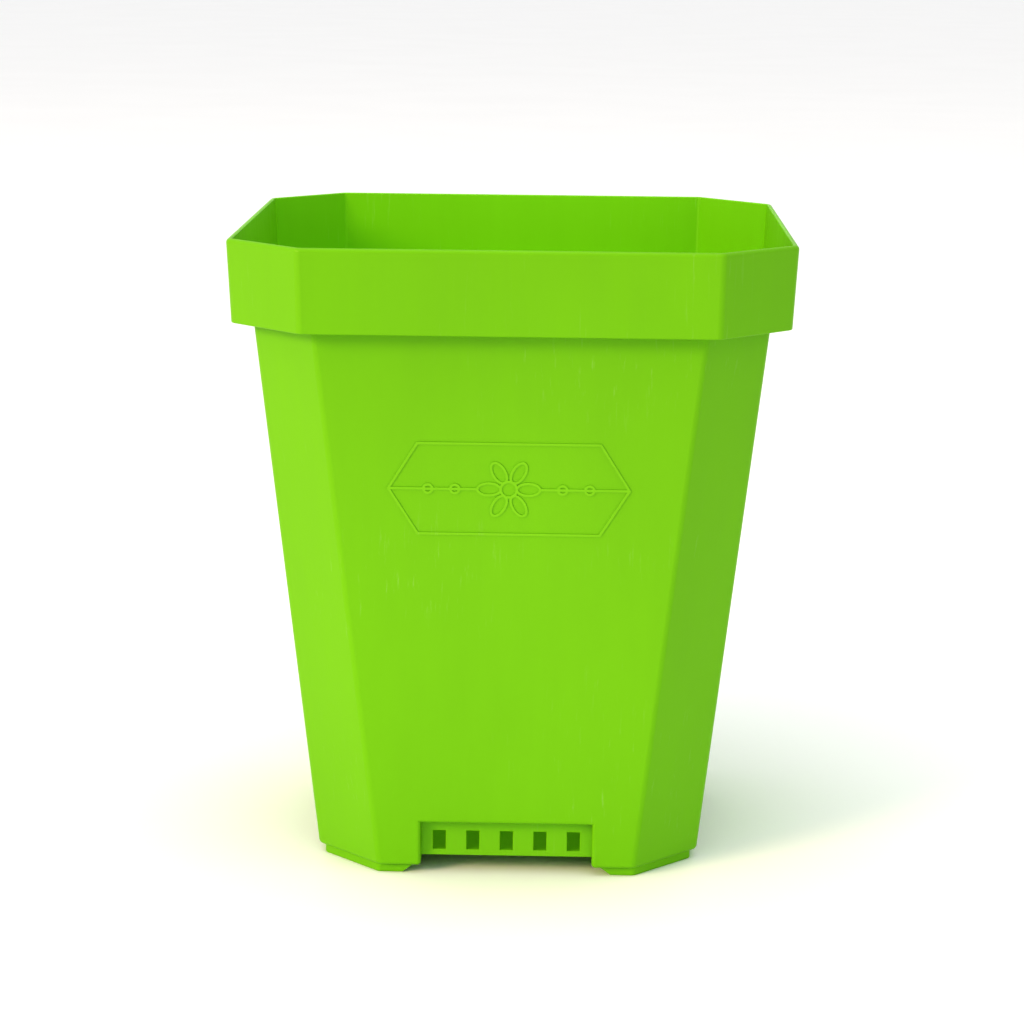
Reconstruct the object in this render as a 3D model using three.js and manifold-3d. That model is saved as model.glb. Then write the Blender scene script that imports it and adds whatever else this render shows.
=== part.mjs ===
// A square plant pot with cut corners, injection moulded in one piece from green polypropylene.
//
// Millimetres, +Z up. The origin is on the ground under the middle of the pot, and the emblem is on the
// -Y side. The moulding is divided along its own creases: a deep collar, the ledge under it, eight tapered
// wall panels, four recessed drain grilles with the ceilings over them, four hollow corner feet, and a
// raised floor shaped like a cross. Every section is a square of some half width whose corners are cut off
// by an equal leg along both sides.

import * as THREE from "three";
import { ConvexGeometry } from "three/addons/geometries/ConvexGeometry.js";
import { mergeVertices } from "three/addons/utils/BufferGeometryUtils.js";
import Module from "manifold-3d";

// Collar: the deep band round the mouth.
const POT_HEIGHT = 147.6;
const COLLAR_BOTTOM = 128.7;
const COLLAR_TOP_HALF_WIDTH = 63.5;
const COLLAR_TOP_LEG = 17.3;
const COLLAR_BOTTOM_HALF_WIDTH = 62.5;
const COLLAR_BOTTOM_LEG = 16.65;

// Body: the tapered walls between the ledge and the feet.
const BODY_TOP_HALF_WIDTH = 57.8;
const BODY_TOP_LEG = 14.55;
const BODY_BOTTOM_HALF_WIDTH = 44.7;
const BODY_BOTTOM_LEG = 15.1;
const WALL = 1.3;

// Feet: a flat pad under each corner, stepped in from the body.
const PAD_HEIGHT = 2.07;
const PAD_HALF_WIDTH = 43.2;
const PAD_LEG = 13.4;
const PAD_INNER_END = 24.2;
const PAD_INNER_END_TOP = 21.6;

// Drain bays: a shallow recess in the bottom edge of each side, with a row of holes at floor level.
const BAY_HALF_WIDTH = 19.8;
const BAY_TOP = 12.8;
const GRILLE_FACE = 42.4;
const FLOOR_UNDERSIDE = 4.1;
const HOLE_COUNT = 5;
const HOLE_PITCH = 7.8;
const HOLE_WIDTH = 2.87;
const HOLE_HEIGHT = 4.55;

// Emblem: a raised rosette in a long six-sided frame, with a bar and two beads at each side.
const EMBLEM_HEIGHT = 93.4;
const EMBLEM_RELIEF = 0.35;
const EMBLEM_STROKE = 0.6;
const EMBLEM_HALF_LENGTH = 27.2;
const EMBLEM_HALF_RISE = 10.8;
const EMBLEM_SHOULDER = 20.5;
const PETAL_COUNT = 6;
const PETAL_LENGTH = 2.9;
const PETAL_WIDTH = 1.7;
const PETAL_RADIUS = 4.4;
const HUB_RADIUS = 2.1;
const BEAD_RADIUS = 1.3;
const BEAD_PLACES = [12, 18];

// Levels and insets that follow from the sizes above.
const FLOOR_TOP = FLOOR_UNDERSIDE + WALL;
const BASE_TOP = BAY_TOP + WALL;
const LEDGE_TOP = COLLAR_BOTTOM + WALL;
const GRILLE_BACK = GRILLE_FACE - WALL;
const WELL_FLOOR = PAD_HEIGHT + WALL;
const LEG_LOSS = 2 - Math.SQRT2; // a cut corner's leg shortens by this much for each unit of inset
const CUT_CLEARANCE = 1; // how far a cutting solid runs past the face that it opens
const SEATING_GAP = 0.03; // keeps the emblem just clear of the wall behind it

const SIDES = ["front", "right", "back", "left"];
const CORNERS = ["front_right", "back_right", "back_left", "front_left"];

const wasm = await Module();
wasm.setup();

// Turn a plan point about the Z axis by whole quarter turns, exactly.
function quarterTurn([x, y], turns) {
  const places = [[x, y], [-y, x], [-x, -y], [y, -x]];
  return places[turns % 4];
}

function between(low, high, share) {
  return low + (high - low) * share;
}

// The outer section of the collar or the body at a height. The ledge keeps the collar's lowest section.
function collarSection(z) {
  const share = (z - LEDGE_TOP) / (POT_HEIGHT - LEDGE_TOP);
  return {
    halfWidth: between(COLLAR_BOTTOM_HALF_WIDTH, COLLAR_TOP_HALF_WIDTH, share),
    leg: between(COLLAR_BOTTOM_LEG, COLLAR_TOP_LEG, share),
  };
}

function bodySection(z) {
  const share = (z - PAD_HEIGHT) / (COLLAR_BOTTOM - PAD_HEIGHT);
  return {
    halfWidth: between(BODY_BOTTOM_HALF_WIDTH, BODY_TOP_HALF_WIDTH, share),
    leg: between(BODY_BOTTOM_LEG, BODY_TOP_LEG, share),
  };
}

function inset(section, depth) {
  return { halfWidth: section.halfWidth - depth, leg: section.leg - depth * LEG_LOSS };
}

// The two ends, in plan, of the long side or the cut corner that a number of quarter turns leads to.
function longEdge(section, turns) {
  const reach = section.halfWidth - section.leg;
  const ends = [[-reach, -section.halfWidth], [reach, -section.halfWidth]];
  return ends.map((end) => quarterTurn(end, turns));
}

function cornerEdge(section, turns) {
  const reach = section.halfWidth - section.leg;
  const ends = [[reach, -section.halfWidth], [section.halfWidth, -reach]];
  return ends.map((end) => quarterTurn(end, turns));
}

function atHeight(planPoints, z) {
  return planPoints.map(([x, y]) => new THREE.Vector3(x, y, z));
}

// The convex solid between a low outline and a high outline.
function tapered(lowOutline, lowZ, highOutline, highZ) {
  return new ConvexGeometry([...atHeight(lowOutline, lowZ), ...atHeight(highOutline, highZ)]);
}

// One flat panel of a ring: its outer and inner edges at the bottom and at the top.
function ringPanel(edge, turns, bottom, top) {
  const low = [...edge(bottom.outer, turns), ...edge(bottom.inner, turns)];
  const high = [...edge(top.outer, turns), ...edge(top.inner, turns)];
  return tapered(low, bottom.z, high, top.z);
}

function block([x0, y0, z0], [x1, y1, z1]) {
  const geometry = new THREE.BoxGeometry(x1 - x0, y1 - y0, z1 - z0);
  return geometry.translate((x0 + x1) / 2, (y0 + y1) / 2, (z0 + z1) / 2);
}

function solidOf(geometry) {
  const bare = geometry.clone();
  bare.deleteAttribute("normal");
  bare.deleteAttribute("uv");
  const merged = mergeVertices(bare, 1e-5);
  return new wasm.Manifold(new wasm.Mesh({
    numProp: 3,
    vertProperties: new Float32Array(merged.attributes.position.array),
    triVerts: new Uint32Array(merged.index.array),
  }));
}

function geometryOf(solid) {
  const mesh = solid.getMesh();
  const geometry = new THREE.BufferGeometry();
  geometry.setAttribute("position", new THREE.BufferAttribute(mesh.vertProperties, 3));
  geometry.setIndex(new THREE.BufferAttribute(mesh.triVerts, 1));
  geometry.computeVertexNormals();
  return geometry;
}

// The plan of a corner, from an inner square edge out to the long sides and the cut corner between them.
function cornerOutline(section, innerEdge, turns) {
  const reach = section.halfWidth - section.leg;
  const points = [
    [innerEdge, -innerEdge],
    [innerEdge, -section.halfWidth],
    [reach, -section.halfWidth],
    [section.halfWidth, -reach],
    [section.halfWidth, -innerEdge],
  ];
  return points.map((point) => quarterTurn(point, turns));
}

// A hollow corner foot: the walls carried down to the ground, a stepped pad, and the well inside.
function footGeometry(turns) {
  const pad = { halfWidth: PAD_HALF_WIDTH, leg: PAD_LEG };
  const padInside = inset(pad, WALL);
  const cutTop = BASE_TOP + CUT_CLEARANCE;
  const cornerBlock = solidOf(tapered(
    cornerOutline(bodySection(PAD_HEIGHT), BAY_HALF_WIDTH, turns), PAD_HEIGHT,
    cornerOutline(bodySection(BASE_TOP), BAY_HALF_WIDTH, turns), BASE_TOP));
  const padSolid = solidOf(tapered(
    cornerOutline(pad, PAD_INNER_END, turns), 0,
    cornerOutline(pad, PAD_INNER_END_TOP, turns), PAD_HEIGHT));
  const well = solidOf(tapered(
    cornerOutline(inset(bodySection(WELL_FLOOR), WALL), BAY_HALF_WIDTH + WALL, turns), WELL_FLOOR,
    cornerOutline(inset(bodySection(cutTop), WALL), BAY_HALF_WIDTH + WALL, turns), cutTop));
  const padPocket = solidOf(tapered(
    cornerOutline(padInside, PAD_INNER_END + WALL, turns), WALL,
    cornerOutline(padInside, PAD_INNER_END_TOP + WALL, turns), WELL_FLOOR + CUT_CLEARANCE));
  const nearEdge = BAY_HALF_WIDTH - CUT_CLEARANCE;
  const plan = [[nearEdge, -GRILLE_BACK], [GRILLE_BACK, -nearEdge]];
  const [a, b] = plan.map((point) => quarterTurn(point, turns));
  const overFloor = solidOf(block(
    [Math.min(a[0], b[0]), Math.min(a[1], b[1]), FLOOR_TOP],
    [Math.max(a[0], b[0]), Math.max(a[1], b[1]), cutTop]));
  return geometryOf(cornerBlock.add(padSolid).subtract(well).subtract(padPocket).subtract(overFloor));
}

// The upright plate at the back of a drain bay, with its row of holes down to floor level.
function grilleGeometry(turns) {
  let plate = solidOf(block(
    [-BAY_HALF_WIDTH, -GRILLE_FACE, FLOOR_UNDERSIDE],
    [BAY_HALF_WIDTH, -GRILLE_BACK, BAY_TOP]));
  for (let i = 0; i < HOLE_COUNT; i++) {
    const x = (i - (HOLE_COUNT - 1) / 2) * HOLE_PITCH;
    plate = plate.subtract(solidOf(block(
      [x - HOLE_WIDTH / 2, -GRILLE_FACE - CUT_CLEARANCE, FLOOR_TOP],
      [x + HOLE_WIDTH / 2, -GRILLE_BACK + CUT_CLEARANCE, FLOOR_TOP + HOLE_HEIGHT])));
  }
  return geometryOf(plate.rotate([0, 0, 90 * turns]));
}

// The strip that closes the top of a drain bay, flush with the wall above it.
function ceilingGeometry(turns) {
  const outline = (z) => {
    const face = bodySection(z).halfWidth;
    const points = [
      [-BAY_HALF_WIDTH, -face],
      [BAY_HALF_WIDTH, -face],
      [BAY_HALF_WIDTH, -GRILLE_BACK],
      [-BAY_HALF_WIDTH, -GRILLE_BACK],
    ];
    return points.map((point) => quarterTurn(point, turns));
  };
  return tapered(outline(BAY_TOP), BAY_TOP, outline(BASE_TOP), BASE_TOP);
}

// One arm of the raised floor, from the middle square out to a grille.
function floorArmGeometry(turns) {
  const points = [
    [-BAY_HALF_WIDTH, -GRILLE_BACK],
    [BAY_HALF_WIDTH, -GRILLE_BACK],
    [BAY_HALF_WIDTH, -BAY_HALF_WIDTH],
    [-BAY_HALF_WIDTH, -BAY_HALF_WIDTH],
  ];
  const outline = points.map((point) => quarterTurn(point, turns));
  return tapered(outline, FLOOR_UNDERSIDE, outline, FLOOR_TOP);
}

// A flat outline with the same outline cut out of it one stroke further in.
function strokeRing(outer, inner) {
  const shape = new THREE.Shape(outer);
  shape.holes.push(new THREE.Path(inner));
  return new THREE.ExtrudeGeometry(shape, { depth: EMBLEM_RELIEF, bevelEnabled: false });
}

function ellipsePoints(radiusX, radiusY, count) {
  const curve = new THREE.EllipseCurve(0, 0, radiusX, radiusY, 0, 2 * Math.PI);
  return curve.getPoints(count).slice(0, count);
}

function ellipseRing(radiusX, radiusY, count) {
  const outer = ellipsePoints(radiusX, radiusY, count);
  const inner = ellipsePoints(radiusX - EMBLEM_STROKE, radiusY - EMBLEM_STROKE, count);
  return strokeRing(outer, inner);
}

function longHexagon(halfLength, halfRise, shoulder) {
  const corners = [
    [halfLength, 0], [shoulder, halfRise], [-shoulder, halfRise],
    [-halfLength, 0], [-shoulder, -halfRise], [shoulder, -halfRise],
  ];
  return corners.map(([x, y]) => new THREE.Vector2(x, y));
}

// The raised lines, drawn flat and then joined into one body.
function emblemGeometry() {
  const shoulderLoss = EMBLEM_STROKE * 0.55;
  const frame = strokeRing(
    longHexagon(EMBLEM_HALF_LENGTH, EMBLEM_HALF_RISE, EMBLEM_SHOULDER),
    longHexagon(
      EMBLEM_HALF_LENGTH - EMBLEM_STROKE * 1.2,
      EMBLEM_HALF_RISE - EMBLEM_STROKE,
      EMBLEM_SHOULDER - shoulderLoss));
  let emblem = solidOf(frame).add(solidOf(ellipseRing(HUB_RADIUS, HUB_RADIUS, 20)));
  for (let i = 0; i < PETAL_COUNT; i++) {
    const petal = ellipseRing(PETAL_LENGTH, PETAL_WIDTH, 20);
    petal.translate(PETAL_RADIUS, 0, 0);
    petal.rotateZ((2 * Math.PI * i) / PETAL_COUNT);
    emblem = emblem.add(solidOf(petal));
  }
  const barStart = PETAL_RADIUS + PETAL_LENGTH - EMBLEM_STROKE / 2;
  const barEnd = EMBLEM_HALF_LENGTH - EMBLEM_STROKE;
  for (const side of [-1, 1]) {
    const ends = [side * barStart, side * barEnd].sort((a, b) => a - b);
    emblem = emblem.add(solidOf(block(
      [ends[0], -EMBLEM_STROKE / 2, 0], [ends[1], EMBLEM_STROKE / 2, EMBLEM_RELIEF])));
    for (const place of BEAD_PLACES) {
      const bead = ellipseRing(BEAD_RADIUS, BEAD_RADIUS, 16);
      emblem = emblem.add(solidOf(bead.translate(side * place, 0, 0)));
    }
  }
  return geometryOf(emblem);
}

// Satin green polypropylene, the same all over.
function greenPlastic() {
  return new THREE.MeshStandardMaterial({ color: 0x86d414, roughness: 0.42, metalness: 0 });
}

const pot = new THREE.Group();

function addPiece(name, geometry) {
  const mesh = new THREE.Mesh(geometry, greenPlastic());
  mesh.name = name;
  pot.add(mesh);
  return mesh;
}

function ringLevel(z, outer, inner) {
  return { z, outer, inner };
}

// The three rings of the moulding, from the base up: walls, ledge, collar.
const wallBottom = ringLevel(BASE_TOP, bodySection(BASE_TOP), inset(bodySection(BASE_TOP), WALL));
const wallTop = ringLevel(
  COLLAR_BOTTOM, bodySection(COLLAR_BOTTOM), inset(bodySection(COLLAR_BOTTOM), WALL));
const ledgeBottom = ringLevel(COLLAR_BOTTOM, collarSection(LEDGE_TOP), wallTop.inner);
const ledgeTop = ringLevel(LEDGE_TOP, collarSection(LEDGE_TOP), wallTop.inner);
const collarBottom = ringLevel(LEDGE_TOP, collarSection(LEDGE_TOP), inset(collarSection(LEDGE_TOP), WALL));
const collarTop = ringLevel(POT_HEIGHT, collarSection(POT_HEIGHT), inset(collarSection(POT_HEIGHT), WALL));

for (const [prefix, bottom, top] of [
  ["wall", wallBottom, wallTop],
  ["ledge", ledgeBottom, ledgeTop],
  ["collar", collarBottom, collarTop],
]) {
  for (let turns = 0; turns < 4; turns++) {
    addPiece(`${prefix}_${SIDES[turns]}`, ringPanel(longEdge, turns, bottom, top));
    addPiece(`${prefix}_corner_${CORNERS[turns]}`, ringPanel(cornerEdge, turns, bottom, top));
  }
}

for (let turns = 0; turns < 4; turns++) {
  addPiece(`drain_grille_${SIDES[turns]}`, grilleGeometry(turns));
  addPiece(`drain_ceiling_${SIDES[turns]}`, ceilingGeometry(turns));
  addPiece(`floor_arm_${SIDES[turns]}`, floorArmGeometry(turns));
  addPiece(`foot_${CORNERS[turns]}`, footGeometry(turns));
}
addPiece("floor_middle", block(
  [-BAY_HALF_WIDTH, -BAY_HALF_WIDTH, FLOOR_UNDERSIDE],
  [BAY_HALF_WIDTH, BAY_HALF_WIDTH, FLOOR_TOP]));

// The emblem lies in the slope of the front wall.
const slope = Math.atan2(
  BODY_TOP_HALF_WIDTH - BODY_BOTTOM_HALF_WIDTH, COLLAR_BOTTOM - PAD_HEIGHT);
const emblem = addPiece("emblem", emblemGeometry());
emblem.rotation.x = Math.PI / 2 + slope;
emblem.position.set(0, -bodySection(EMBLEM_HEIGHT).halfWidth - SEATING_GAP, EMBLEM_HEIGHT);

export default pot;
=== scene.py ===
"""Square plant pot: its moulded pieces, their finish, and the studio around them.

Everything is in metres, +Z up, with the front of the pot on the -Y side. The pot is one thin moulding, so it
is modelled as one skin: its sections are bridged into walls, the drain bays and feet are built under them,
the skin is given its wall thickness and its edges are rounded. The separate pieces are then parted from it
along flat stretches, where no joint line shows.
"""

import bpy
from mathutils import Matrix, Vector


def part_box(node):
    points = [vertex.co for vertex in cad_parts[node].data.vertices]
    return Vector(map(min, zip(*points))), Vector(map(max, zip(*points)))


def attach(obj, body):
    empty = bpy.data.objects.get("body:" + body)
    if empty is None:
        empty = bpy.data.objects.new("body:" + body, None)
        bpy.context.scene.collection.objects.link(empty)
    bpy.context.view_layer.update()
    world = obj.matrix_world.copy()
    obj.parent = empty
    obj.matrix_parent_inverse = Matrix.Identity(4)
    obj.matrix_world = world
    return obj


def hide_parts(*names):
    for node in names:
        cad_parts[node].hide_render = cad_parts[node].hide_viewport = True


bl_info = {
    "name": "Square Plant Pot",
    "version": (1, 0, 0),
    "blender": (4, 5, 0),
    "location": "View3D > Sidebar > Plant Pot",
    "description": "Models a square moulded plant pot piece by piece",
    "category": "Object",
}

import math

import bmesh
import bpy
from bpy.props import FloatProperty, FloatVectorProperty, IntProperty, PointerProperty
from mathutils import Matrix, Vector

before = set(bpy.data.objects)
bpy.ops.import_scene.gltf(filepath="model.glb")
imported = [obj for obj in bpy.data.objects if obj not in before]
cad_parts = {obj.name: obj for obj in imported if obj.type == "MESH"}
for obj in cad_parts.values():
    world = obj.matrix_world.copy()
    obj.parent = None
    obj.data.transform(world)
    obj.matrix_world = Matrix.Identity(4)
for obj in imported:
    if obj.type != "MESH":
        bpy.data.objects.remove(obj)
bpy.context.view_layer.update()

SIDES = ("front", "right", "back", "left")
CORNERS = ("front_right", "back_right", "back_left", "front_left")
BODY = "root"
CORNER_NODES = tuple("corner_" + corner for corner in CORNERS)
MOULDING = "whole_moulding"
PLASTIC = "green_moulded_plastic"
# the rosette's plastic is painted a paler green: a painted highlight for the light its raised lines catch
PAINTED_HIGHLIGHT_PLASTIC = "green_plastic_rubbed"
FLOOR = "floor_paper"
OUTWARDS = ((1, 0, 0), (-1, 0, 0), (0, 1, 0), (0, -1, 0))
CLOSE = 2e-5  # two places nearer than this are the same place
PLANE_CLOSE = 1e-7  # a point nearer than this to a cutting plane lies on it
FRAME_CLOSE = 1e-6  # the corners of a frame body's triangles that are nearer than this are one corner
OUTLINE_CLOSE = 0.004  # how far off an outline, as a share of it, still counts as on it
EIGHTH_TURN = math.tan(math.radians(22.5))  # tangent length of a unit rounding on a 45 degree corner


def node_low(node):
    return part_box(node)[0]


def node_high(node):
    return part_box(node)[1]


def distance(name, description, default):
    return FloatProperty(
        name=name, description=description, default=default, min=0.0, unit="LENGTH", subtype="DISTANCE"
    )


class PotSizes(bpy.types.PropertyGroup):
    """Sizes of the moulding that a user would change."""

    wall: distance(
        "Wall thickness", "Thickness of the moulding everywhere",
        node_high("floor_middle").z - node_low("floor_middle").z)
    corner_radius: distance("Corner radius", "Outer rounding of the upright corners", 0.0022)
    pad_height: distance("Pad height", "How far the foot pads stand below the body", 0.00207)
    pad_half_width: distance("Pad half width", "From the middle of the pot to a pad's outer face", 0.0432)
    pad_leg: distance("Pad corner leg", "Length cut off each side at a pad's corner", 0.0134)
    pad_radius: distance("Pad corner radius", "Outer rounding of a pad's upright corners", 0.0016)
    pad_end: distance("Pad inner end", "Where a pad's underside ends beside the channel", 0.0242)
    pad_end_top: distance("Pad inner end at its top", "Where a pad meets the body beside the channel", 0.0216)
    base_leg: distance("Base corner leg", "Length cut off each side at the bottom of the body", 0.0151)
    hole_width: distance("Hole width", "Width of a drain hole", 0.00287)
    hole_sill: distance("Hole sill", "Height of a drain hole's sill above the floor", 0.00012)
    hole_top: distance("Hole top", "Height of a drain hole's top above the floor", 0.00455)
    hole_pitch: distance("Hole spacing", "Distance between the middles of two drain holes", 0.0078)
    hole_count: IntProperty(name="Holes", description="Drain holes in each side", default=5, min=1, max=5)
    lip_rounding: distance("Lip rounding", "Rounding of the collar's lower lip", 0.0003)
    rim_rounding: distance("Rim rounding", "Rounding of the rim's outer edge", 0.00095)
    mouth_rounding: distance("Mouth rounding", "Rounding of the rim's inner edge", 0.0003)
    base_rounding: distance("Base rounding", "Rounding of the body's lower edges and bay openings", 0.0009)
    pad_rounding: distance("Pad rounding", "Rounding round the underside of a pad", 0.00035)
    hole_rounding: distance("Hole rounding", "Rounding round a drain hole", 0.00028)
    inner_rounding: distance("Inner rounding", "Rounding of the edges inside the pot", 0.0004)
    emblem_relief: distance("Rosette relief", "How far the rosette stands out of its wall", 0.0002)
    emblem_root: distance("Rosette root", "How far the rosette's back is let into its wall", 0.00026)


class PotColours(bpy.types.PropertyGroup):
    """Colours of the pot and of the studio."""

    plastic: FloatVectorProperty(
        name="Plastic", description="Colour of the moulded plastic", subtype="COLOR",
        size=3, min=0.0, max=1.0, default=(0.169, 0.448, 0.006))
    # A paler green painted on the rosette's raised lines: a painted highlight standing in for the light they
    # catch.
    painted_highlight: FloatVectorProperty(
        name="Painted highlight plastic", description="Paler colour of the raised lines, a painted highlight for the light they catch",
        subtype="COLOR", size=3, min=0.0, max=1.0, default=(0.190, 0.482, 0.012))
    floor: FloatVectorProperty(
        name="Floor", description="Colour of the studio floor", subtype="COLOR",
        size=3, min=0.0, max=1.0, default=(0.96, 0.96, 0.96))


# How finely curved edges are divided.
CORNER_STEPS = 6
FILLET_STEPS = 4
MILLIMETRES = 1000  # in a metre: a wall is thickened in millimetres, where the tool's own offset is nothing
SHARP_ANGLE = math.radians(35)  # edges sharper than this are shaded as edges
RIDGE_ANGLE = math.radians(25)  # edges that stand out more than this are rounded
FLAT_ANGLE = math.radians(1)  # faces nearer to one plane than this are joined up

# Where the pieces are parted, each on a flat stretch of the moulding.
FAR = 1.0  # a plane this far out parts nothing
COLLAR_PARTING = 0.1279
BASE_PARTING = 0.0150
BAY_PARTING = 0.0180
FLOOR_PARTING = 0.0380

# The grain of the plastic: cycles in a metre along each axis, levels of finer detail, and their strength.
CLOUDS = ((34, 34, 17), 3.0, 0.5)
STREAKS = ((260, 260, 14), 4.0, 0.6)
PATCHES = ((21, 21, 27), 2.0, 0.5)
SCRATCHES = ((1300, 1300, 30), 5.0, 0.62)
GRAIN = ((2600, 2600, 2600), 3.0, 0.5)
PEBBLE = ((420, 420, 420), 2.0, 0.5)
NOISE_RANGE = (0.3, 0.7)  # noise seldom leaves this range
SCRATCH_RANGE = (0.60, 0.78)  # only the peaks of the noise are scratches
PATCH_RANGE = (0.50, 0.72)  # and they come in patches
DEEP_TONE = 0.965  # the darkest and the palest of the plastic's clouds, as shares of its colour
PALE_TONE = 1.03
CLOUD_SHARE = 0.72  # how much of the unevenness is in the clouds, and the rest in the streaks
CHALKINESS = 0.30  # how far a scuff goes from the plastic's colour towards white
SCUFF_STRENGTH = 0.35
SMOOTH_ROUGHNESS = 0.36  # between the streaks
STREAK_ROUGHNESS = 0.44
SCUFF_ROUGHNESS = 0.16  # what a scuff adds
PLASTIC_IOR = 1.49
PLASTIC_SPECULAR = 0.22
PEBBLE_STRENGTH = 0.35
PEBBLE_DEPTH = 0.00006
GRAIN_STRENGTH = 0.30
GRAIN_DEPTH = 0.00002

# The studio floor.
FLOOR_MOTTLE = ((7, 7, 7), 3.0, 0.5)
FLOOR_DEEP_TONE = 0.985
FLOOR_ROUGHNESS = 0.9
FLOOR_SPECULAR = 0.1
FLOOR_HALF_WIDTH = 30.0

# The light and the camera.
WORLD_COLOUR = (1.0, 1.0, 1.0)
WORLD_STRENGTH = 0.68
LIGHTS = (
    # name, width, opening in degrees, colour, power, place, what it points at
    ("key_light", 0.70, 180, (1.0, 0.72, 0.45), 23.0, (-1.52, -1.30, 0.90), (0, 0, 0.07)),
    ("top_light", 1.50, 180, (1.0, 1.0, 1.0), 6.5, (0.0, -0.20, 2.00), (0, 0, 0.07)),
    ("front_fill", 0.12, 30, (1.0, 1.0, 1.0), 0.0085, (0.0, -0.50, 0.03), (0, 0, 0.015)),
    # the green glow that daylight coming through the walls leaves inside the mouth
    ("mouth_light", 0.08, 130, (0.72, 1.0, 0.35), 0.032, (0.01, -0.04, 0.215), (-0.01, 0.06, 0.13)),
)
CAMERA_LENS = 99.49
CAMERA_PLACE = (0.01394, -0.67013, 0.21798)
CAMERA_HEADING = math.radians(-1.225)
CAMERA_DIP = math.radians(11.885)
CAMERA_ROLL = math.radians(0.589)


# The skin: outlines, and the surfaces between them

def bevel(bm, geom, offset, segments, affect):
    bmesh.ops.bevel(
        bm, geom=geom, offset=offset, offset_type="OFFSET", segments=segments, profile=0.5,
        affect=affect, material=-1, clamp_overlap=True)


def turn(bm, turns):
    quarter_turns = Matrix.Rotation(turns * math.pi / 2, 3, "Z")
    bmesh.ops.rotate(bm, cent=(0, 0, 0), matrix=quarter_turns, verts=bm.verts)


def cut_away(bm, point, direction):
    """Remove what lies beyond a plane, on the side that the direction points to."""
    geom = bm.verts[:] + bm.edges[:] + bm.faces[:]
    bmesh.ops.bisect_plane(
        bm, geom=geom, plane_co=point, plane_no=direction, dist=PLANE_CLOSE, clear_outer=True)


def score(bm, faces, point, direction):
    """Divide flat faces along a plane, and leave the rest of the skin alone."""
    edges = dict.fromkeys(edge for face in faces for edge in face.edges)
    verts = dict.fromkeys(vert for face in faces for vert in face.verts)
    bmesh.ops.bisect_plane(
        bm, geom=[*verts, *edges, *faces], plane_co=point, plane_no=direction, dist=PLANE_CLOSE)


def outline(half_width, leg, radius, height):
    """A flat face: a square whose corners are cut off and then rounded."""
    bm = bmesh.new()
    bmesh.ops.create_grid(bm, x_segments=1, y_segments=1, size=half_width)
    bevel(bm, bm.verts[:], leg, 1, "VERTICES")
    bevel(bm, bm.verts[:], radius * EIGHTH_TURN, CORNER_STEPS, "VERTICES")
    bmesh.ops.translate(bm, vec=(0, 0, height), verts=bm.verts)
    return bm


def corner_outline(half_width, leg, radius, inner_end, height, turns):
    """The part of an outline that lies in one corner, past an inner end on both sides."""
    bm = outline(half_width, leg, radius, height)
    cut_away(bm, (inner_end, 0, 0), (-1, 0, 0))
    cut_away(bm, (0, -inner_end, 0), (0, 1, 0))
    turn(bm, turns)
    return bm


def take_in(bm, part):
    """Add one bmesh to another, and return the faces and edges that it brought."""
    mesh = bpy.data.meshes.new("part")
    part.to_mesh(mesh)
    part.free()
    old_faces, old_edges = set(bm.faces), set(bm.edges)
    bm.from_mesh(mesh)
    bpy.data.meshes.remove(mesh)
    return [f for f in bm.faces if f not in old_faces], [e for e in bm.edges if e not in old_edges]


def take_in_loop(bm, part):
    """Add a flat outline as a bare loop of edges."""
    faces, edges = take_in(bm, part)
    bmesh.ops.delete(bm, geom=faces, context="FACES_ONLY")
    return edges


def bridge(bm, low, high):
    bmesh.ops.bridge_loops(bm, edges=low + high)


def set_height(edges, height):
    """Level a loop. Two loops at one height can't be bridged, so one is levelled afterwards."""
    for vert in {v for e in edges for v in e.verts}:
        vert.co.z = height


def merge(bm):
    bmesh.ops.remove_doubles(bm, verts=bm.verts, dist=CLOSE)


def near(a, b):
    return abs(a - b) < CLOSE


def middle(face):
    return face.calc_center_median()


def off_middle(place):
    """How far a place is from the nearer of the pot's two middle planes."""
    return min(abs(place.x), abs(place.y))


class Levels:
    """The places that the moulding is drawn from, read from the frame and from the pot's sizes.

    A section of the pot is half its width, the length cut off each side at its corners, and its height.
    """

    def __init__(self, sizes):
        grille_low, grille_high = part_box("drain_grille_front")
        wall_low, wall_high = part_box("wall_front")
        ledge_low = node_low("ledge_front")
        collar_low, collar_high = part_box("collar_front")
        base_face = -node_low("drain_ceiling_front").y
        self.rim = (-collar_low.y, -collar_low.y - collar_high.x, collar_high.z)
        self.lip = (-ledge_low.y, -ledge_low.y - node_high("ledge_front").x, ledge_low.z)
        self.wall_top = (-wall_low.y, -wall_low.y - wall_high.x, wall_high.z)
        self.bay_top = grille_high.z
        self.bay_end = grille_high.x
        self.grille_face = -grille_low.y
        self.floor_under = grille_low.z
        self.floor_top = node_high("floor_middle").z
        self.pad_height = sizes.pad_height
        self.draft = (self.wall_top[0] - base_face) / (self.wall_top[2] - wall_low.z)
        self.base_leg = sizes.base_leg

    def body(self, height):
        """The body's outer section at a height."""
        drop = self.wall_top[2] - height
        share = drop / (self.wall_top[2] - self.pad_height)
        leg = self.wall_top[1] + (self.base_leg - self.wall_top[1]) * share
        return self.wall_top[0] - drop * self.draft, leg, height


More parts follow.
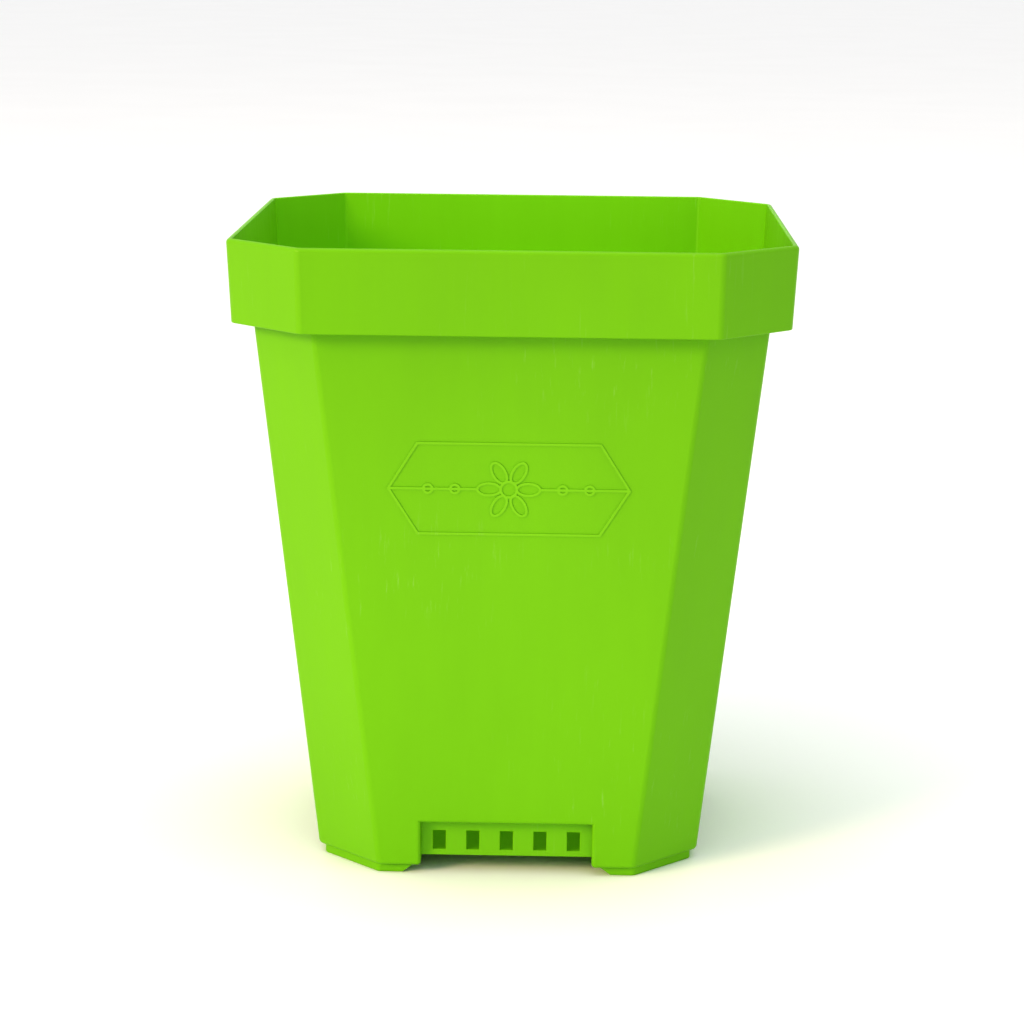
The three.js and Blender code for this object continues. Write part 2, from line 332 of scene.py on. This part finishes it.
def skin_walls(bm, sizes, levels):
    """Bridge the pot's sections from the bottom of the body up to the rim, and open the drain bays."""
    raised_lip = (*levels.lip[:2], (levels.lip[2] + levels.rim[2]) / 2)
    sections = (
        levels.body(levels.pad_height), levels.body(levels.bay_top), levels.wall_top, raised_lip, levels.rim)
    loops = [take_in_loop(bm, outline(w, leg, sizes.corner_radius, z)) for w, leg, z in sections]
    for low, high in zip(loops, loops[1:]):
        bridge(bm, low, high)
    set_height(loops[3], levels.lip[2])
    for direction in OUTWARDS:
        band = [f for f in bm.faces if middle(f).z < levels.bay_top]
        score(bm, band, Vector(direction) * levels.bay_end, direction)
    openings = [
        f for f in bm.faces
        if middle(f).z < levels.bay_top and off_middle(middle(f)) < levels.bay_end]
    bmesh.ops.delete(bm, geom=openings, context="FACES")


def skin_feet(bm, sizes, levels):
    """Carry each corner of the body in under itself and down to a flat pad."""
    half_width, leg, height = levels.body(levels.pad_height)
    pad = (sizes.pad_half_width, sizes.pad_leg, sizes.pad_radius)
    for turns in range(4):
        edge = take_in_loop(bm, corner_outline(
            half_width, leg, sizes.corner_radius, levels.bay_end, height, turns))
        pad_top = take_in_loop(bm, corner_outline(*pad, sizes.pad_end_top, height / 2, turns))
        sole = take_in(bm, corner_outline(*pad, sizes.pad_end, 0, turns))[1]
        bridge(bm, edge, pad_top)
        bridge(bm, pad_top, sole)
        set_height(pad_top, height)


def skin_floor(bm, levels):
    """Raise the floor as a cross between the feet."""
    floor = bmesh.new()
    bmesh.ops.create_grid(floor, x_segments=1, y_segments=1, size=levels.grille_face)
    bmesh.ops.translate(floor, vec=(0, 0, levels.floor_under), verts=floor.verts)
    for direction in OUTWARDS:
        score(floor, floor.faces[:], Vector(direction) * levels.bay_end, direction)
    corners = [f for f in floor.faces if off_middle(middle(f)) > levels.bay_end]
    bmesh.ops.delete(floor, geom=corners, context="FACES")
    take_in(bm, floor)


def skin_bay(bm, sizes, levels, side):
    """Close the back, top and cheeks of one drain bay, and open its holes. The bay is drawn at the front."""
    bay = bmesh.new()
    bmesh.ops.create_grid(bay, x_segments=1, y_segments=1, size=levels.bay_end)
    bmesh.ops.rotate(bay, cent=(0, 0, 0), matrix=Matrix.Rotation(math.pi / 2, 3, "X"), verts=bay.verts)
    for vert in bay.verts:
        vert.co.y = -levels.grille_face
        vert.co.z = levels.bay_top if vert.co.z > 0 else levels.floor_under
    top = [e for e in bay.edges if all(near(v.co.z, levels.bay_top) for v in e.verts)]
    ceiling = bmesh.ops.extrude_edge_only(bay, edges=top)["geom"]
    for vert in (v for v in ceiling if isinstance(v, bmesh.types.BMVert)):
        vert.co.y = -levels.body(levels.bay_top)[0]
    hole_low, hole_high = levels.floor_top + sizes.hole_sill, levels.floor_top + sizes.hole_top
    for height in (hole_low, hole_high):
        panel = [f for f in bay.faces if middle(f).z < levels.bay_top - CLOSE]
        score(bay, panel, (0, 0, height), (0, 0, 1))
    first_hole = -(sizes.hole_count - 1) / 2
    places = [(first_hole + i) * sizes.hole_pitch for i in range(sizes.hole_count)]
    for place in places:
        for edge in (place - sizes.hole_width / 2, place + sizes.hole_width / 2):
            row = [f for f in bay.faces if hole_low < middle(f).z < hole_high]
            score(bay, row, (edge, 0, 0), (1, 0, 0))
    holes = [
        f for f in bay.faces
        if hole_low < middle(f).z < hole_high
        and any(abs(middle(f).x - place) < sizes.hole_width / 2 for place in places)]
    bmesh.ops.delete(bay, geom=holes, context="FACES")
    turn(bay, side)
    take_in(bm, bay)


def skin_cheeks(bm, levels):
    """Fill the flat cheeks that face each other across the bays and channels."""
    for axis in (0, 1):
        for place in (-levels.bay_end, levels.bay_end):
            for end in (-1, 1):
                rim = [
                    e for e in bm.edges
                    if all(near(v.co[axis], place) and v.co[1 - axis] * end > levels.bay_end - CLOSE
                           for v in e.verts)
                    and len(e.link_faces) < 2]
                bmesh.ops.contextual_create(bm, geom=rim)


def build_skin(sizes, levels):
    """The outer surface of the whole pot, one face thick and open at the rim."""
    bm = bmesh.new()
    skin_walls(bm, sizes, levels)
    skin_feet(bm, sizes, levels)
    skin_floor(bm, levels)
    for side in range(4):
        skin_bay(bm, sizes, levels, side)
    merge(bm)
    inner_corners = [
        v for v in bm.verts
        if near(abs(v.co.x), levels.bay_end) and near(abs(v.co.y), levels.bay_end)]
    for low in (v for v in inner_corners if v.co.z < levels.floor_under - CLOSE):
        high = min(
            (v for v in inner_corners if v.co.z > low.co.z + CLOSE),
            key=lambda v: (v.co - low.co).length)
        bmesh.ops.contextual_create(bm, geom=[low, high])
    skin_cheeks(bm, levels)
    bmesh.ops.recalc_face_normals(bm, faces=bm.faces)
    highest = max(bm.faces, key=lambda f: middle(f).z)
    if highest.normal.dot(middle(highest) * Vector((1, 1, 0))) < 0:
        bmesh.ops.reverse_faces(bm, faces=bm.faces)
    return bm


# The moulding: the skin with its wall thickness and rounded edges

def finished_mesh(obj):
    """The object's mesh with its modifiers applied."""
    graph = bpy.context.evaluated_depsgraph_get()
    return bpy.data.meshes.new_from_object(obj.evaluated_get(graph))


def thicken(bm, sizes, levels):
    """Give the skin its wall, inwards, with every flat face moved in by the same amount."""
    bmesh.ops.scale(bm, vec=Vector((1, 1, 1)) * MILLIMETRES, verts=bm.verts)
    mesh = bpy.data.meshes.new("skin")
    bm.to_mesh(mesh)
    bm.free()
    skin = bpy.data.objects.new("skin", mesh)
    bpy.context.scene.collection.objects.link(skin)
    wall = skin.modifiers.new("Wall", "SOLIDIFY")
    wall.solidify_mode = "NON_MANIFOLD"
    wall.nonmanifold_thickness_mode = "CONSTRAINTS"
    wall.nonmanifold_boundary_mode = "NONE"
    wall.thickness = sizes.wall * MILLIMETRES
    wall.offset = -1
    thick = finished_mesh(skin)
    bpy.data.objects.remove(skin)
    bpy.data.meshes.remove(mesh)
    made = bmesh.new()
    made.from_mesh(thick)
    bpy.data.meshes.remove(thick)
    bmesh.ops.scale(made, vec=Vector((1, 1, 1)) / MILLIMETRES, verts=made.verts)
    # The wall leans, so the rim comes out slanting, and is levelled.
    for vert in made.verts:
        if vert.co.z > levels.rim[2] - sizes.wall / 4:
            vert.co.z = levels.rim[2]
    merge(made)
    bmesh.ops.recalc_face_normals(made, faces=made.faces)
    return made


def is_ridge(edge):
    """True for a sharp edge that stands out, False for a flat stretch or an inside corner."""
    return len(edge.link_faces) == 2 and edge.calc_face_angle_signed() > RIDGE_ANGLE


def ridges(bm, test):
    """The ridges whose two ends both pass a test."""
    return [e for e in bm.edges if is_ridge(e) and all(test(v.co) for v in e.verts)]


def outward(place, section):
    """How far out a place is, as a share of a section: 1 on its outline, less inside it."""
    half_width, leg, height = section
    x, y = abs(place.x), abs(place.y)
    return max(x / half_width, y / half_width, (x + y) / (2 * half_width - leg))


def on_outline(place, section):
    return abs(outward(place, section) - 1) < OUTLINE_CLOSE


def round_edges(bm, sizes, levels):
    """Round every edge that stands out, one kind of edge after another."""
    def on_base(place):
        height = place.z
        if height > levels.bay_top + CLOSE:
            return False
        if near(height, levels.pad_height) and off_middle(place) <= levels.bay_end + CLOSE:
            return True
        return height > levels.pad_height - CLOSE and on_outline(place, levels.body(height))

    def on_lip(place):
        return near(place.z, levels.lip[2]) and on_outline(place, levels.lip)

    def on_rim(place):
        return near(place.z, levels.rim[2]) and on_outline(place, levels.rim)

    def on_mouth(place):
        return near(place.z, levels.rim[2]) and not on_outline(place, levels.rim)

    def on_sole(place):
        return near(place.z, 0)

    def on_hole(place):
        face = max(abs(place.x), abs(place.y))
        in_row = sizes.hole_sill < place.z - levels.floor_top + CLOSE < sizes.hole_top + 2 * CLOSE
        return near(face, levels.grille_face) and in_row

    def inside(place):
        return sizes.pad_height + sizes.wall / 2 < place.z < levels.lip[2] + 2 * sizes.wall

    for test, offset in (
        (on_base, sizes.base_rounding),
        (on_lip, sizes.lip_rounding),
        (on_rim, sizes.rim_rounding),
        (on_mouth, sizes.mouth_rounding),
        (on_sole, sizes.pad_rounding),
        (on_hole, sizes.hole_rounding),
        (inside, sizes.inner_rounding),
    ):
        bevel(bm, ridges(bm, test), offset, FILLET_STEPS, "EDGES")


def mould(sizes):
    """The whole moulding as one closed mesh, kept for the pieces to be parted from."""
    levels = Levels(sizes)
    bm = thicken(build_skin(sizes, levels), sizes, levels)
    round_edges(bm, sizes, levels)
    merge(bm)
    for vert in bm.verts:
        vert.co.z = max(vert.co.z, 0.0)
    bmesh.ops.recalc_face_normals(bm, faces=bm.faces)
    old = bpy.data.meshes.get(MOULDING)
    if old:
        bpy.data.meshes.remove(old)
    mesh = bpy.data.meshes.new(MOULDING)
    bm.to_mesh(mesh)
    bm.free()


# The finish: satin moulded plastic

def add_node(tree, kind, **settings):
    node = tree.nodes.new(kind)
    for name, value in settings.items():
        setattr(node, name, value)
    return node


def stretched_noise(tree, place, stretch, detail, roughness):
    """Noise whose grain is stretched by a different amount on each axis, in cycles a metre."""
    mapping = add_node(tree, "ShaderNodeMapping")
    mapping.inputs["Scale"].default_value = stretch
    tree.links.new(place, mapping.inputs["Vector"])
    noise = add_node(tree, "ShaderNodeTexNoise")
    noise.inputs["Scale"].default_value = 1
    noise.inputs["Detail"].default_value = detail
    noise.inputs["Roughness"].default_value = roughness
    tree.links.new(mapping.outputs["Vector"], noise.inputs["Vector"])
    return noise.outputs["Fac"]


def spread(tree, value, low, high, new_low, new_high):
    """Map the values between low and high to a new range, and hold them there."""
    node = add_node(tree, "ShaderNodeMapRange", clamp=True)
    for name, number in (("From Min", low), ("From Max", high), ("To Min", new_low), ("To Max", new_high)):
        node.inputs[name].default_value = number
    tree.links.new(value, node.inputs["Value"])
    return node.outputs["Result"]


def combine(tree, operation, first, second):
    node = add_node(tree, "ShaderNodeMath", operation=operation)
    for socket, value in zip(node.inputs, (first, second)):
        if isinstance(value, float):
            socket.default_value = value
        else:
            tree.links.new(value, socket)
    return node.outputs["Value"]


def blend_colours(tree, share, first, second):
    """Mix two colours, each a plain colour or the output of another node."""
    node = add_node(tree, "ShaderNodeMix", data_type="RGBA")
    tree.links.new(share, node.inputs["Factor"])
    sockets = [socket for socket in node.inputs if socket.identifier in ("A_Color", "B_Color")]
    for socket, colour in zip(sockets, (first, second)):
        if isinstance(colour, bpy.types.NodeSocket):
            tree.links.new(colour, socket)
        else:
            socket.default_value = (*colour, 1)
    return next(socket for socket in node.outputs if socket.identifier == "Result_Color")


def scaled(colour, factor):
    return tuple(channel * factor for channel in colour)


def add_bump(tree, height, strength, depth):
    node = add_node(tree, "ShaderNodeBump")
    node.inputs["Strength"].default_value = strength
    node.inputs["Distance"].default_value = depth
    tree.links.new(height, node.inputs["Height"])
    return node


def new_material(name):
    old = bpy.data.materials.get(name)
    if old:
        bpy.data.materials.remove(old)
    material = bpy.data.materials.new(name)
    material.use_nodes = True
    return material.node_tree, material.node_tree.nodes["Principled BSDF"]


def moulded_plastic(name, colour):
    """Satin plastic with faint flow streaks in its colour, a fine grain and light upright scuffs."""
    tree, surface = new_material(name)
    place = add_node(tree, "ShaderNodeTexCoord").outputs["Object"]
    clouds = stretched_noise(tree, place, *CLOUDS)
    streaks = stretched_noise(tree, place, *STREAKS)
    patches = stretched_noise(tree, place, *PATCHES)
    scratches = stretched_noise(tree, place, *SCRATCHES)
    grain = stretched_noise(tree, place, *GRAIN)
    pebble = stretched_noise(tree, place, *PEBBLE)

    tone = combine(
        tree, "ADD",
        spread(tree, clouds, *NOISE_RANGE, 0.0, CLOUD_SHARE),
        spread(tree, streaks, *NOISE_RANGE, 0.0, 1 - CLOUD_SHARE))
    body_colour = blend_colours(tree, tone, scaled(colour, DEEP_TONE), scaled(colour, PALE_TONE))
    scuffed = combine(
        tree, "MULTIPLY",
        spread(tree, scratches, *SCRATCH_RANGE, 0.0, 1.0),
        spread(tree, patches, *PATCH_RANGE, 0.0, 1.0))
    chalk = tuple(channel + (1 - channel) * CHALKINESS for channel in colour)
    scuff_share = combine(tree, "MULTIPLY", scuffed, SCUFF_STRENGTH)
    tree.links.new(blend_colours(tree, scuff_share, body_colour, chalk), surface.inputs["Base Color"])

    roughness = combine(
        tree, "ADD",
        spread(tree, streaks, *NOISE_RANGE, SMOOTH_ROUGHNESS, STREAK_ROUGHNESS),
        spread(tree, scuffed, 0.0, 1.0, 0.0, SCUFF_ROUGHNESS))
    tree.links.new(roughness, surface.inputs["Roughness"])
    surface.inputs["IOR"].default_value = PLASTIC_IOR
    surface.inputs["Specular IOR Level"].default_value = PLASTIC_SPECULAR

    ripple = add_bump(tree, pebble, PEBBLE_STRENGTH, PEBBLE_DEPTH)
    skin = add_bump(tree, combine(tree, "SUBTRACT", grain, scuffed), GRAIN_STRENGTH, GRAIN_DEPTH)
    tree.links.new(ripple.outputs["Normal"], skin.inputs["Normal"])
    tree.links.new(skin.outputs["Normal"], surface.inputs["Normal"])


def floor_finish(colour):
    """Matte paper-white floor with the least unevenness."""
    tree, surface = new_material(FLOOR)
    place = add_node(tree, "ShaderNodeTexCoord").outputs["Object"]
    mottle = stretched_noise(tree, place, *FLOOR_MOTTLE)
    tone = spread(tree, mottle, *NOISE_RANGE, 0.0, 1.0)
    shade = blend_colours(tree, tone, scaled(colour, FLOOR_DEEP_TONE), colour)
    tree.links.new(shade, surface.inputs["Base Color"])
    surface.inputs["Roughness"].default_value = FLOOR_ROUGHNESS
    surface.inputs["Specular IOR Level"].default_value = FLOOR_SPECULAR


# The pieces, parted from the moulding

def remove_object(name):
    old = bpy.data.objects.get(name)
    if old:
        bpy.data.objects.remove(old)


def add_piece(name, bm, nodes, finish=PLASTIC):
    """Make a piece of a finished bmesh, hang it on the pot's body, and hide the frame bodies that it stands
    for.
    """
    remove_object(name)
    for face in bm.faces:
        face.smooth = True
    mesh = bpy.data.meshes.new(name)
    bm.to_mesh(mesh)
    bm.free()
    mesh.set_sharp_from_angle(angle=SHARP_ANGLE)
    mesh.materials.append(bpy.data.materials[finish])
    piece = bpy.data.objects.new(name, mesh)
    bpy.context.scene.collection.objects.link(piece)
    piece.modifiers.new("Even shading", "WEIGHTED_NORMAL").keep_sharp = True
    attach(piece, BODY)
    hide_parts(*nodes)


def part(name, low, high, nodes):
    """Part the piece that lies between two corners from the moulding, and close it where it is cut."""
    if MOULDING not in bpy.data.meshes:
        raise RuntimeError("The pot has to be moulded before its pieces are parted from it")
    bm = bmesh.new()
    bm.from_mesh(bpy.data.meshes[MOULDING])
    for axis in range(3):
        for limit, way in ((low[axis], -1), (high[axis], 1)):
            point, direction = Vector(), Vector()
            point[axis], direction[axis] = limit, way
            cut_away(bm, point, direction)
            cut = [e for e in bm.edges if len(e.link_faces) == 1]
            if cut:
                bmesh.ops.triangle_fill(bm, edges=cut, use_beauty=True, normal=direction)
    bmesh.ops.recalc_face_normals(bm, faces=bm.faces)
    if any(not e.is_manifold for e in bm.edges):
        raise RuntimeError(name + " isn't closed")
    add_piece(name, bm, nodes)


def at_side(side, low, high):
    """The corners of a box that is given for the front, carried round to another side."""
    spin = Matrix.Rotation(side * math.pi / 2, 3, "Z")
    a, b = spin @ Vector(low), spin @ Vector(high)
    return Vector(map(min, a, b)), Vector(map(max, a, b))


def merged_copy(node):
    """A copy of a frame body's mesh with its triangles joined up."""
    bm = bmesh.new()
    bm.from_mesh(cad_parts[node].data)
    bmesh.ops.remove_doubles(bm, verts=bm.verts, dist=FRAME_CLOSE)
    bmesh.ops.dissolve_limit(bm, angle_limit=FLAT_ANGLE, verts=bm.verts, edges=bm.edges)
    bmesh.ops.recalc_face_normals(bm, faces=bm.faces)
    return bm


def emblem_on_wall(sizes, levels):
    """The raised rosette, standing a little out of the wall, with its back let into it."""
    bm = merged_copy("emblem")
    inward = Vector((0, 1, levels.draft)).normalized()
    wall_place = Vector((0, -levels.wall_top[0], levels.wall_top[2]))
    heights = {vert: -(vert.co - wall_place).dot(inward) for vert in bm.verts}
    relief = max(heights.values())
    standing = [vert for vert, height in heights.items() if height > relief / 2]
    sunk = [vert for vert, height in heights.items() if height <= relief / 2]
    bmesh.ops.translate(bm, vec=inward * (relief - sizes.emblem_relief), verts=standing)
    bmesh.ops.translate(bm, vec=inward * sizes.emblem_root, verts=sunk)
    return bm


# The studio: floor, lights and camera

def add_light(name, size, opening, colour, power, place, target):
    """A soft round light. Its opening is the angle, in degrees, that it spreads over."""
    remove_object(name)
    data = bpy.data.lights.new(name, "AREA")
    data.shape = "DISK"
    data.size = size
    data.spread = math.radians(opening)
    data.energy = power
    data.color = colour
    light = bpy.data.objects.new(name, data)
    light.location = place
    light.rotation_euler = (Vector(target) - Vector(place)).to_track_quat("-Z", "Y").to_euler()
    light.visible_camera = False
    bpy.context.scene.collection.objects.link(light)


def add_floor(colour):
    remove_object("studio_floor")
    bm = bmesh.new()
    bmesh.ops.create_grid(bm, x_segments=1, y_segments=1, size=FLOOR_HALF_WIDTH)
    mesh = bpy.data.meshes.new("studio_floor")
    bm.to_mesh(mesh)
    bm.free()
    floor_finish(colour)
    mesh.materials.append(bpy.data.materials[FLOOR])
    floor = bpy.data.objects.new("studio_floor", mesh)
    bpy.context.scene.collection.objects.link(floor)


def add_camera():
    """A camera in front of the pot, a little above it, as a long lens sees it."""
    remove_object("studio_camera")
    data = bpy.data.cameras.new("studio_camera")
    data.lens = CAMERA_LENS
    camera = bpy.data.objects.new("studio_camera", data)
    camera.location = CAMERA_PLACE
    look = Matrix.Rotation(-CAMERA_HEADING, 3, "Z") @ Matrix.Rotation(math.pi / 2 - CAMERA_DIP, 3, "X")
    camera.rotation_euler = (look @ Matrix.Rotation(CAMERA_ROLL, 3, "Z")).to_euler()
    bpy.context.scene.collection.objects.link(camera)
    bpy.context.scene.camera = camera


def add_world(colour, strength):
    world = bpy.data.worlds.get("studio") or bpy.data.worlds.new("studio")
    world.use_nodes = True
    background = world.node_tree.nodes["Background"]
    background.inputs["Color"].default_value = (*colour, 1)
    background.inputs["Strength"].default_value = strength
    bpy.context.scene.world = world


# Operators

class PotOperator:
    """What every operator here shares."""

    bl_options = {"REGISTER", "UNDO"}

    @property
    def sizes(self):
        return bpy.context.scene.pot_sizes


class POT_OT_mould(PotOperator, bpy.types.Operator):
    """Mould the whole pot as one closed skin, from which the pieces are then parted"""

    bl_idname = "plant_pot.mould"
    bl_label = "Moulding"

    def execute(self, context):
        moulded_plastic(PLASTIC, context.scene.pot_colours.plastic)
        # the second plastic is the rosette's paler green, a painted highlight
        moulded_plastic(PAINTED_HIGHLIGHT_PLASTIC, context.scene.pot_colours.painted_highlight)
        mould(self.sizes)
        return {"FINISHED"}


class POT_OT_collar(PotOperator, bpy.types.Operator):
    """Part the collar, with its rim, its lip and the ledge inside it"""

    bl_idname = "plant_pot.collar"
    bl_label = "Collar"

    def execute(self, context):
        nodes = [f"{kind}_{side}" for kind in ("collar", "ledge") for side in SIDES + CORNER_NODES]
        part("collar", (-FAR, -FAR, COLLAR_PARTING), (FAR, FAR, FAR), nodes)
        return {"FINISHED"}


class POT_OT_walls(PotOperator, bpy.types.Operator):
    """Part the four tapered walls and the cut-off corners between them"""

    bl_idname = "plant_pot.walls"
    bl_label = "Walls"

    def execute(self, context):
        nodes = [f"wall_{side}" for side in SIDES + CORNER_NODES]
        part("walls", (-FAR, -FAR, BASE_PARTING), (FAR, FAR, COLLAR_PARTING), nodes)
        return {"FINISHED"}


class POT_OT_drain_bays(PotOperator, bpy.types.Operator):
    """Part the four drain bays, each with its ceiling and its row of holes"""

    bl_idname = "plant_pot.drain_bays"
    bl_label = "Drain bays"

    def execute(self, context):
        for turns, side in enumerate(SIDES):
            low, high = at_side(
                turns, (-BAY_PARTING, -FAR, -FAR), (BAY_PARTING, -FLOOR_PARTING, BASE_PARTING))
            part("drain_bay_" + side, low, high, [f"drain_grille_{side}", f"drain_ceiling_{side}"])
        return {"FINISHED"}


class POT_OT_feet(PotOperator, bpy.types.Operator):
    """Part the four hollow corner feet and their pads"""

    bl_idname = "plant_pot.feet"
    bl_label = "Feet"

    def execute(self, context):
        for turns, corner in enumerate(CORNERS):
            low, high = at_side(turns, (BAY_PARTING, -FAR, -FAR), (FAR, -BAY_PARTING, BASE_PARTING))
            part("hollow_foot_" + corner, low, high, ["foot_" + corner])
        return {"FINISHED"}


class POT_OT_floor(PotOperator, bpy.types.Operator):
    """Part the raised floor: its middle, and the strips that run out to the drain bays"""

    bl_idname = "plant_pot.floor"
    bl_label = "Raised floor"

    def execute(self, context):
        inner, outer = BAY_PARTING, FLOOR_PARTING
        part("raised_floor", (-inner, -inner, -FAR), (inner, inner, BASE_PARTING), ["floor_middle"])
        for turns, side in enumerate(SIDES):
            low, high = at_side(turns, (-inner, -outer, -FAR), (inner, -inner, BASE_PARTING))
            part("floor_strip_" + side, low, high, ["floor_arm_" + side])
        return {"FINISHED"}


class POT_OT_emblem(PotOperator, bpy.types.Operator):
    """Finish the raised rosette on the front wall"""

    bl_idname = "plant_pot.emblem"
    bl_label = "Rosette"

    def execute(self, context):
        rosette = emblem_on_wall(self.sizes, Levels(self.sizes))
        # the rosette gets the paler plastic, a painted highlight
        add_piece("rosette", rosette, ["emblem"], PAINTED_HIGHLIGHT_PLASTIC)
        return {"FINISHED"}


class POT_OT_studio(PotOperator, bpy.types.Operator):
    """Set up the floor, the soft lights and the camera"""

    bl_idname = "plant_pot.studio"
    bl_label = "Studio"

    def execute(self, context):
        add_floor(context.scene.pot_colours.floor)
        add_world(WORLD_COLOUR, WORLD_STRENGTH)
        for light in LIGHTS:
            add_light(*light)
        add_camera()
        view = context.scene.view_settings
        view.view_transform = "Standard"
        view.look = "High Contrast"
        return {"FINISHED"}


OPERATORS = (
    POT_OT_mould, POT_OT_collar, POT_OT_walls, POT_OT_drain_bays, POT_OT_feet, POT_OT_floor, POT_OT_emblem,
    POT_OT_studio)


class POT_PT_panel(bpy.types.Panel):
    """Lists the steps that make the pot, in order."""

    bl_idname = "POT_PT_panel"
    bl_label = "Plant Pot"
    bl_space_type = "VIEW_3D"
    bl_region_type = "UI"
    bl_category = "Plant Pot"

    def draw(self, context):
        layout = self.layout
        layout.prop(context.scene.pot_colours, "plastic")
        layout.prop(context.scene.pot_colours, "painted_highlight")
        layout.prop(context.scene.pot_colours, "floor")
        column = layout.column(align=True)
        for name in PotSizes.__annotations__:
            column.prop(context.scene.pot_sizes, name)
        for operator in OPERATORS:
            layout.operator(operator.bl_idname)


CLASSES = (PotSizes, PotColours, *OPERATORS, POT_PT_panel)


def register():
    for cls in CLASSES:
        bpy.utils.register_class(cls)
    bpy.types.Scene.pot_sizes = PointerProperty(type=PotSizes)
    bpy.types.Scene.pot_colours = PointerProperty(type=PotColours)


def unregister():
    del bpy.types.Scene.pot_colours
    del bpy.types.Scene.pot_sizes
    for cls in reversed(CLASSES):
        bpy.utils.unregister_class(cls)


def main():
    register()
    bpy.ops.plant_pot.mould()
    bpy.ops.plant_pot.collar()
    bpy.ops.plant_pot.walls()
    bpy.ops.plant_pot.drain_bays()
    bpy.ops.plant_pot.feet()
    bpy.ops.plant_pot.floor()
    bpy.ops.plant_pot.emblem()
    bpy.ops.plant_pot.studio()
    bpy.data.meshes.remove(bpy.data.meshes[MOULDING])


if __name__ == "__main__":
    main()
